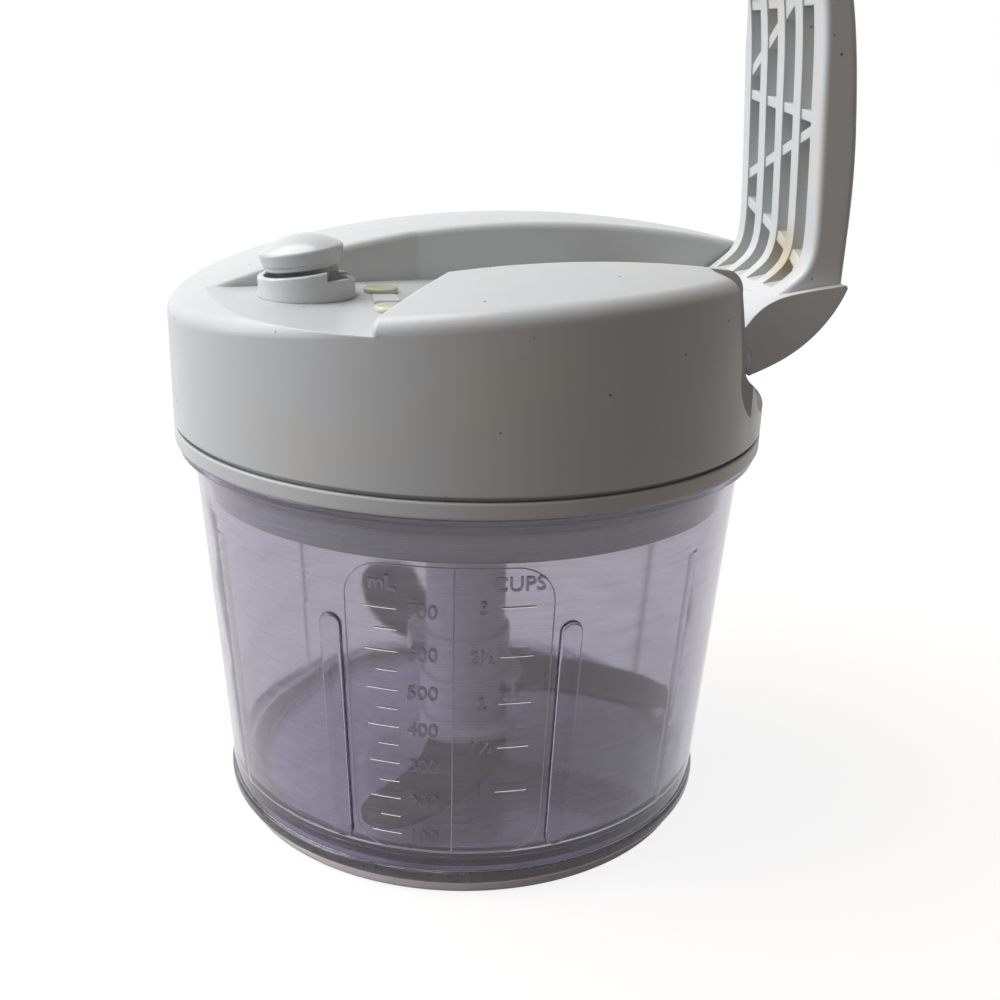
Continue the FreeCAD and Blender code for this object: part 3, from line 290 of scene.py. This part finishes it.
def clearPlastic(name, look):
    material, tree = blankMaterial(name)
    place = addNode(tree, "ShaderNodeTexCoord").outputs["Object"]
    part = addNode(tree, "ShaderNodeSeparateXYZ", None, {0: place})
    angle = addNode(tree, "ShaderNodeMath", None, {0: part.outputs[1], 1: part.outputs[0]},
                    operation="ARCTAN2")
    # scratches run round the wall, where the blades have thrown food: long in angle, fine in height,
    # and drawn coarser than they are so that they show
    ring = addNode(tree, "ShaderNodeCombineXYZ", None, {0: angle.outputs[0], 1: part.outputs[2]})
    pull = addNode(tree, "ShaderNodeMapping",
                   {"Scale": (look["scratchRound"], 1 / (look["scratchMm"] * mm), 1.0)},
                   {"Vector": ring.outputs[0]})
    lines = addNode(tree, "ShaderNodeTexNoise", {"Scale": 1.0, "Detail": 4.0, "Roughness": 0.7},
                    {"Vector": pull.outputs[0]})
    haze = addNode(tree, "ShaderNodeTexNoise", {"Scale": 1 / (look["hazeMm"] * mm), "Detail": 5.0},
                   {"Vector": place})
    rough = addNode(tree, "ShaderNodeMapRange",
                    {"From Min": look["hazeFrom"], "From Max": look["hazeTo"],
                     "To Min": look["rough"], "To Max": look["rough"] + look["hazeRough"]},
                    {"Value": haze.outputs[0]})
    bump = addNode(tree, "ShaderNodeBump",
                   {"Strength": look["scratchStrength"], "Distance": look["scratchHighMm"] * mm},
                   {"Height": lines.outputs[0]})
    clear = addNode(tree, "ShaderNodeMapRange",
                    {"From Min": look["scratchFrom"], "From Max": look["scratchTo"],
                     "To Min": look["clear"], "To Max": look["clear"] - look["scratched"]},
                    {"Value": lines.outputs[0]})
    surface = addNode(tree, "ShaderNodeBsdfPrincipled",
                      {"Base Color": linear(look["tint"]), "IOR": look["ior"]},
                      {"Roughness": rough.outputs[0], "Normal": bump.outputs[0],
                       "Transmission Weight": clear.outputs[0]})
    # lamplight passes into the bowl, as it does through the real thin wall
    passed = addNode(tree, "ShaderNodeBsdfTransparent", {"Color": linear(look["shade"])})
    rays = addNode(tree, "ShaderNodeLightPath")
    lit = addNode(tree, "ShaderNodeMixShader", None, {0: rays.outputs["Is Shadow Ray"], 1: surface.outputs[0],
                                                      2: passed.outputs[0]})
    inside = addNode(tree, "ShaderNodeVolumeAbsorption",
                     {"Color": linear(look["absorb"]), "Density": look["density"]})
    addNode(tree, "ShaderNodeOutputMaterial", None, {"Surface": lit.outputs[0], "Volume": inside.outputs[0]})
    return material


sanClear = clearPlastic("sanClearViolet", sanLook)
# the raised marks are rubbed dull, and the border of the panel is tinted dark as painted shade
sanMark = clearPlastic("sanRubbedMark", dict(sanLook, tint="#b2afb6", rough=0.25))
sanLine = clearPlastic("sanShadedLine", dict(sanLook, tint="#77737b", rough=0.4, clear=0.35))
print("materials made")

paint(absGrey, "lid_housing", "lid_base")
paint(absLatch, "latch_collar", "latch_button")
paint(absLever, "lever")
paint(acetalWhite, "sector_gear", "idler_gear", "cross_pinion", "crown_wheel", "output_pinion",
      "drive_socket", "hub_bush_lower", "hub_bush_upper")
paint(propyleneGrey, "blade_hub")
paint(pvcBeige, "base_pad")
paint(siliconeGrey, "lid_seal")
paint(bumperAmber, "bumper_far", "bumper_near")
paint(bladeSteel, "blade_lower", "blade_middle", "blade_upper")
paint(zincSteel, "gear_bracket", "shaft_bridge", "frame_rivets", "lid_screws")
paint(pinSteel, "hinge_pin", "idler_pin", "cross_shaft", "output_shaft", "shaft_clip", "latch_pin",
      "latch_spring", "return_spring", "bowl_post")
paint(sanClear, "bowl")

# raised scale on the bowl wall, in degrees round it and millimetres up it
wall = {"lowR": 58.3, "lowZ": 6.6, "highR": 64.1, "highZ": 88.9}
wallSlope = (wall["highR"] - wall["lowR"]) / (wall["highZ"] - wall["lowZ"])


def onWall(azimuth, z, out):
    # a point that stands out from the cone of the wall, with the way out of it
    turn = math.radians(azimuth)
    lean = math.atan(wallSlope)
    away = Vector((math.cos(turn) * math.cos(lean), math.sin(turn) * math.cos(lean), -math.sin(lean)))
    radius = wall["lowR"] + wallSlope * (z - wall["lowZ"])
    return (Vector((math.cos(turn) * radius, math.sin(turn) * radius, z)) + away * out) * mm, away


sunkMm = 0.12  # how deep a bead's foot sits in the wall


def addRidge(mesh, path, width, proud, closed=False):
    # a low rounded bead along a path of (azimuth, z) points, sunk slightly into the wall
    foot = -sunkMm / proud
    section = [(-0.5, foot), (-0.46, 0.45), (-0.25, 0.92), (0.25, 0.92), (0.46, 0.45), (0.5, foot)]
    count = len(path)
    rings = []
    for k in range(count):
        before = path[k - 1] if closed or k else path[0]
        after = path[(k + 1) % count] if closed or k < count - 1 else path[-1]
        run = (onWall(*after, 0)[0] - onWall(*before, 0)[0]).normalized()
        spot, away = onWall(*path[k], 0)
        side = run.cross(away).normalized()
        first = len(mesh["verts"])
        for across, up in section:
            mesh["verts"].append(spot + (side * across * width + away * up * proud) * mm)
        rings.append(first)
    size = len(section)
    for k in range(count if closed else count - 1):
        a, b = rings[k], rings[(k + 1) % count]
        for i in range(size):
            j = (i + 1) % size
            mesh["faces"].append((a + i, b + i, b + j, a + j))
    if not closed:
        mesh["faces"].append([rings[0] + i for i in range(size)])
        mesh["faces"].append([rings[-1] + i for i in reversed(range(size))])


def addLetters(mesh, words, azimuth, z, look):
    curve = bpy.data.curves.new("letters", "FONT")
    curve.body = words
    curve.size = look["capMm"] / look["capShare"] * mm
    curve.align_x, curve.align_y = "CENTER", "CENTER"
    curve.extrude = look["proud"] * mm
    curve.offset = look["bold"] * mm
    curve.space_character = look["spacing"]
    curve.resolution_u = 4
    holder = bpy.data.objects.new("letters", curve)
    bpy.context.scene.collection.objects.link(holder)
    shape = bpy.data.meshes.new_from_object(holder.evaluated_get(bpy.context.evaluated_depsgraph_get()))
    radius = wall["lowR"] + wallSlope * (z - wall["lowZ"])
    first = len(mesh["verts"])
    for v in shape.vertices:
        x, y, out = v.co / mm
        mesh["verts"].append(onWall(azimuth + math.degrees(x / radius), z + y, out)[0])
    mesh["faces"].extend([[first + i for i in face.vertices] for face in shape.polygons])
    bpy.data.objects.remove(holder)
    bpy.data.meshes.remove(shape)
    bpy.data.curves.remove(curve)


def addPiece(name, mesh, material, body, smooth=40):
    data = bpy.data.meshes.new(name)
    data.from_pydata([tuple(v) for v in mesh["verts"]], [], [tuple(f) for f in mesh["faces"]])
    data.materials.append(material)
    piece = bpy.data.objects.new(name, data)
    bpy.context.scene.collection.objects.link(piece)
    data.shade_smooth()
    data.set_sharp_from_angle(angle=math.radians(smooth))
    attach(piece, body)


scaleMarks = {
    "panel": {"left": -122.7, "right": -83.6, "low": 11.6, "high": 79.6, "divider": -102.1,
              "cornerMm": 8.0, "midR": 61},
    "line": {"width": 0.28, "proud": 0.06},
    "tick": {"width": 0.42, "proud": 0.12},
    "wholeTick": (-118.9, -116.8, -114.7, -112.6),
    "halfTick": (-116.9, -114.8, -112.7),
    "cupTick": (-93.4, -91.3, -89.2, -87.1),
    # capShare: how much of the font's size its capitals take up
    "letters": {"capMm": 3.2, "capShare": 0.73, "proud": 0.32, "bold": 0.03, "spacing": 1.0},
    "numbersAt": (-107.9, -0.3),
    "cupNumbersAt": (-96.6, -0.1),
    "cupNumberMm": 2.9,
    "headings": [("mL", -115.3, 75.4, 0.12, 1.0), ("CUPS", -90.4, 76.0, 0.03, 1.05)],
    "millilitres": [(700, 70.0), (650, 65.3), (600, 60.3), (550, 55.8), (500, 51.3), (450, 46.8), (400, 42.5),
                    (350, 38.1), (300, 33.6), (250, 29.0), (200, 24.7), (150, 20.1), (100, 15.7)],
    "cups": [("3", 71.0), ("2½", 59.9), ("2", 49.0), ("1½", 38.4), ("1", 27.4)],
}
marks = {"verts": [], "faces": []}
border = {"verts": [], "faces": []}
panel = scaleMarks["panel"]
line = scaleMarks["line"]
tick = scaleMarks["tick"]
outline = []
cornerMm = panel["cornerMm"]
cornerDeg = math.degrees(cornerMm / panel["midR"])
steps = 8
quarters = [("right", "high", 0), ("left", "high", 90), ("left", "low", 180), ("right", "low", 270)]
for side, end, first in quarters:
    midAz = panel[side] + (cornerDeg if side == "left" else -cornerDeg)
    midZ = panel[end] + (cornerMm if end == "low" else -cornerMm)
    bends = [math.radians(first + 90 * k / steps) for k in range(steps + 1)]
    corner = [(midAz + cornerDeg * math.cos(bend), midZ + cornerMm * math.sin(bend)) for bend in bends]
    if outline:
        # points along the straight run, so that the bead follows the round wall
        startAz, startZ = outline[-1]
        goalAz, goalZ = corner[0]
        outline += [(startAz + (goalAz - startAz) * k / steps, startZ + (goalZ - startZ) * k / steps)
                    for k in range(1, steps)]
    outline += corner
addRidge(border, outline, line["width"], line["proud"], closed=True)
tall = panel["high"] - panel["low"]
rises = 12
addRidge(border, [(panel["divider"], panel["low"] + tall * k / rises) for k in range(rises + 1)],
         line["width"], line["proud"])
for volume, z in scaleMarks["millilitres"]:
    whole = volume % 100 == 0
    reach = scaleMarks["wholeTick" if whole else "halfTick"]
    addRidge(marks, [(azimuth, z) for azimuth in reach], tick["width"], tick["proud"])
    if whole:
        numberAz, numberUp = scaleMarks["numbersAt"]
        addLetters(marks, str(volume), numberAz, z + numberUp, scaleMarks["letters"])
for label, z in scaleMarks["cups"]:
    addRidge(marks, [(azimuth, z) for azimuth in scaleMarks["cupTick"]], tick["width"], tick["proud"])
    numberAz, numberUp = scaleMarks["cupNumbersAt"]
    addLetters(marks, label, numberAz, z + numberUp,
               dict(scaleMarks["letters"], capMm=scaleMarks["cupNumberMm"]))
for words, azimuth, z, bold, spacing in scaleMarks["headings"]:
    addLetters(marks, words, azimuth, z, dict(scaleMarks["letters"], bold=bold, spacing=spacing))
addPiece("bowl_scale", marks, sanMark, "bowl_body")
addPiece("bowl_scale_border", border, sanLine, "bowl_body")
print("scale marks:", len(marks["faces"]), "faces")

studio = {
    "floor": "#76706b", "floorGlow": 0.88, "fadeFrom": 0.12, "fadeTo": 0.5,
    "halfWide": 3.0, "floorZ": -0.0003,
    "backdrop": "#ffffff", "ambient": "#dcc3b3", "ambientPower": 0.11,
}


def seenPath(tree):
    # 1 for the rays that show a surface to the eye, straight or through plastic or off metal
    path = addNode(tree, "ShaderNodeLightPath")
    seen = addNode(tree, "ShaderNodeMath", None,
                   {0: path.outputs["Is Camera Ray"], 1: path.outputs["Is Glossy Ray"]}, operation="MAXIMUM")
    return addNode(tree, "ShaderNodeMath", None, {0: seen.outputs[0], 1: path.outputs["Is Transmission Ray"]},
                   operation="MAXIMUM").outputs[0]


# the floor shows white, with the shadow left on it, and fades into the white backdrop
floorMaterial, tree = blankMaterial("studioFloor")
plain = addNode(tree, "ShaderNodeBsdfDiffuse", {"Color": linear(studio["floor"])})
place = addNode(tree, "ShaderNodeTexCoord").outputs["Object"]
far = addNode(tree, "ShaderNodeVectorMath", None, {0: place}, operation="LENGTH")
fade = addNode(tree, "ShaderNodeMapRange",
               {"From Min": studio["fadeFrom"], "From Max": studio["fadeTo"],
                "To Min": studio["floorGlow"], "To Max": 1.0},
               {"Value": far.outputs["Value"]})
glow = addNode(tree, "ShaderNodeMath", None, {0: fade.outputs[0], 1: seenPath(tree)}, operation="MULTIPLY")
shine = addNode(tree, "ShaderNodeEmission", {"Color": linear(studio["backdrop"])},
                {"Strength": glow.outputs[0]})
lit = addNode(tree, "ShaderNodeAddShader", None, {0: plain.outputs[0], 1: shine.outputs[0]})
addNode(tree, "ShaderNodeOutputMaterial", None, {"Surface": lit.outputs[0]})
floorData = bpy.data.meshes.new("floor")
half, floorZ = studio["halfWide"], studio["floorZ"]
corners = [(-half, -half, floorZ), (half, -half, floorZ), (half, half, floorZ), (-half, half, floorZ)]
floorData.from_pydata(corners, [], [(0, 1, 2, 3)])
floorData.materials.append(floorMaterial)
floor = bpy.data.objects.new("floor", floorData)
bpy.context.scene.collection.objects.link(floor)

world = bpy.data.worlds.new("studioWorld")
bpy.context.scene.world = world
world.use_nodes = True
tree = world.node_tree
tree.nodes.clear()
air = addNode(tree, "ShaderNodeBackground",
              {"Color": linear(studio["ambient"]), "Strength": studio["ambientPower"]})
white = addNode(tree, "ShaderNodeBackground", {"Color": linear(studio["backdrop"]), "Strength": 1.0})
both = addNode(tree, "ShaderNodeMixShader", None, {0: seenPath(tree), 1: air.outputs[0], 2: white.outputs[0]})
addNode(tree, "ShaderNodeOutputWorld", None, {"Surface": both.outputs[0]})

lamps = {
    # name: place in metres, size, power, colour
    "windowLeft": ((-0.80, -0.03, 0.42), 0.7, 4.9, "#f2f6ff"),
    "topSoft": ((-0.38, 0.12, 0.85), 0.8, 8.6, "#ffffff"),
    "fillRight": ((0.60, -0.65, 0.35), 0.7, 0.15, "#ffd2b4"),
}
aimAt = Vector((0.0, 0.0, 0.09))
for name, (spot, size, power, colour) in lamps.items():
    lamp = bpy.data.lights.new(name, "AREA")
    lamp.size = size
    lamp.energy = power
    lamp.color = linear(colour)[:3]
    holder = bpy.data.objects.new(name, lamp)
    holder.location = spot
    holder.rotation_euler = (aimAt - Vector(spot)).to_track_quat("-Z", "Y").to_euler()
    bpy.context.scene.collection.objects.link(holder)

view = {
    "place": (-49.14, -278.70, 170.32), "along": (0.19001, 0.92503, -0.32896), "rollDeg": 1.535,
    "lens": 44.19, "sensor": 36, "near": 0.01,
}
camera = bpy.data.cameras.new("camera")
camera.sensor_width = view["sensor"]
camera.lens = view["lens"]
camera.clip_start = view["near"]
cameraHolder = bpy.data.objects.new("camera", camera)
along = Vector(view["along"]).normalized()
right = along.cross(Vector((0, 0, 1))).normalized()
up = right.cross(along)
roll = math.radians(view["rollDeg"])
rightTurned = right * math.cos(roll) + up * math.sin(roll)
upTurned = up * math.cos(roll) - right * math.sin(roll)
facing = Matrix((rightTurned, upTurned, -along)).transposed().to_4x4()
cameraHolder.matrix_world = Matrix.Translation(Vector(view["place"]) * mm) @ facing
bpy.context.scene.collection.objects.link(cameraHolder)
bpy.context.scene.camera = cameraHolder
bpy.context.scene.view_settings.view_transform = "Standard"
print("studio and camera set")
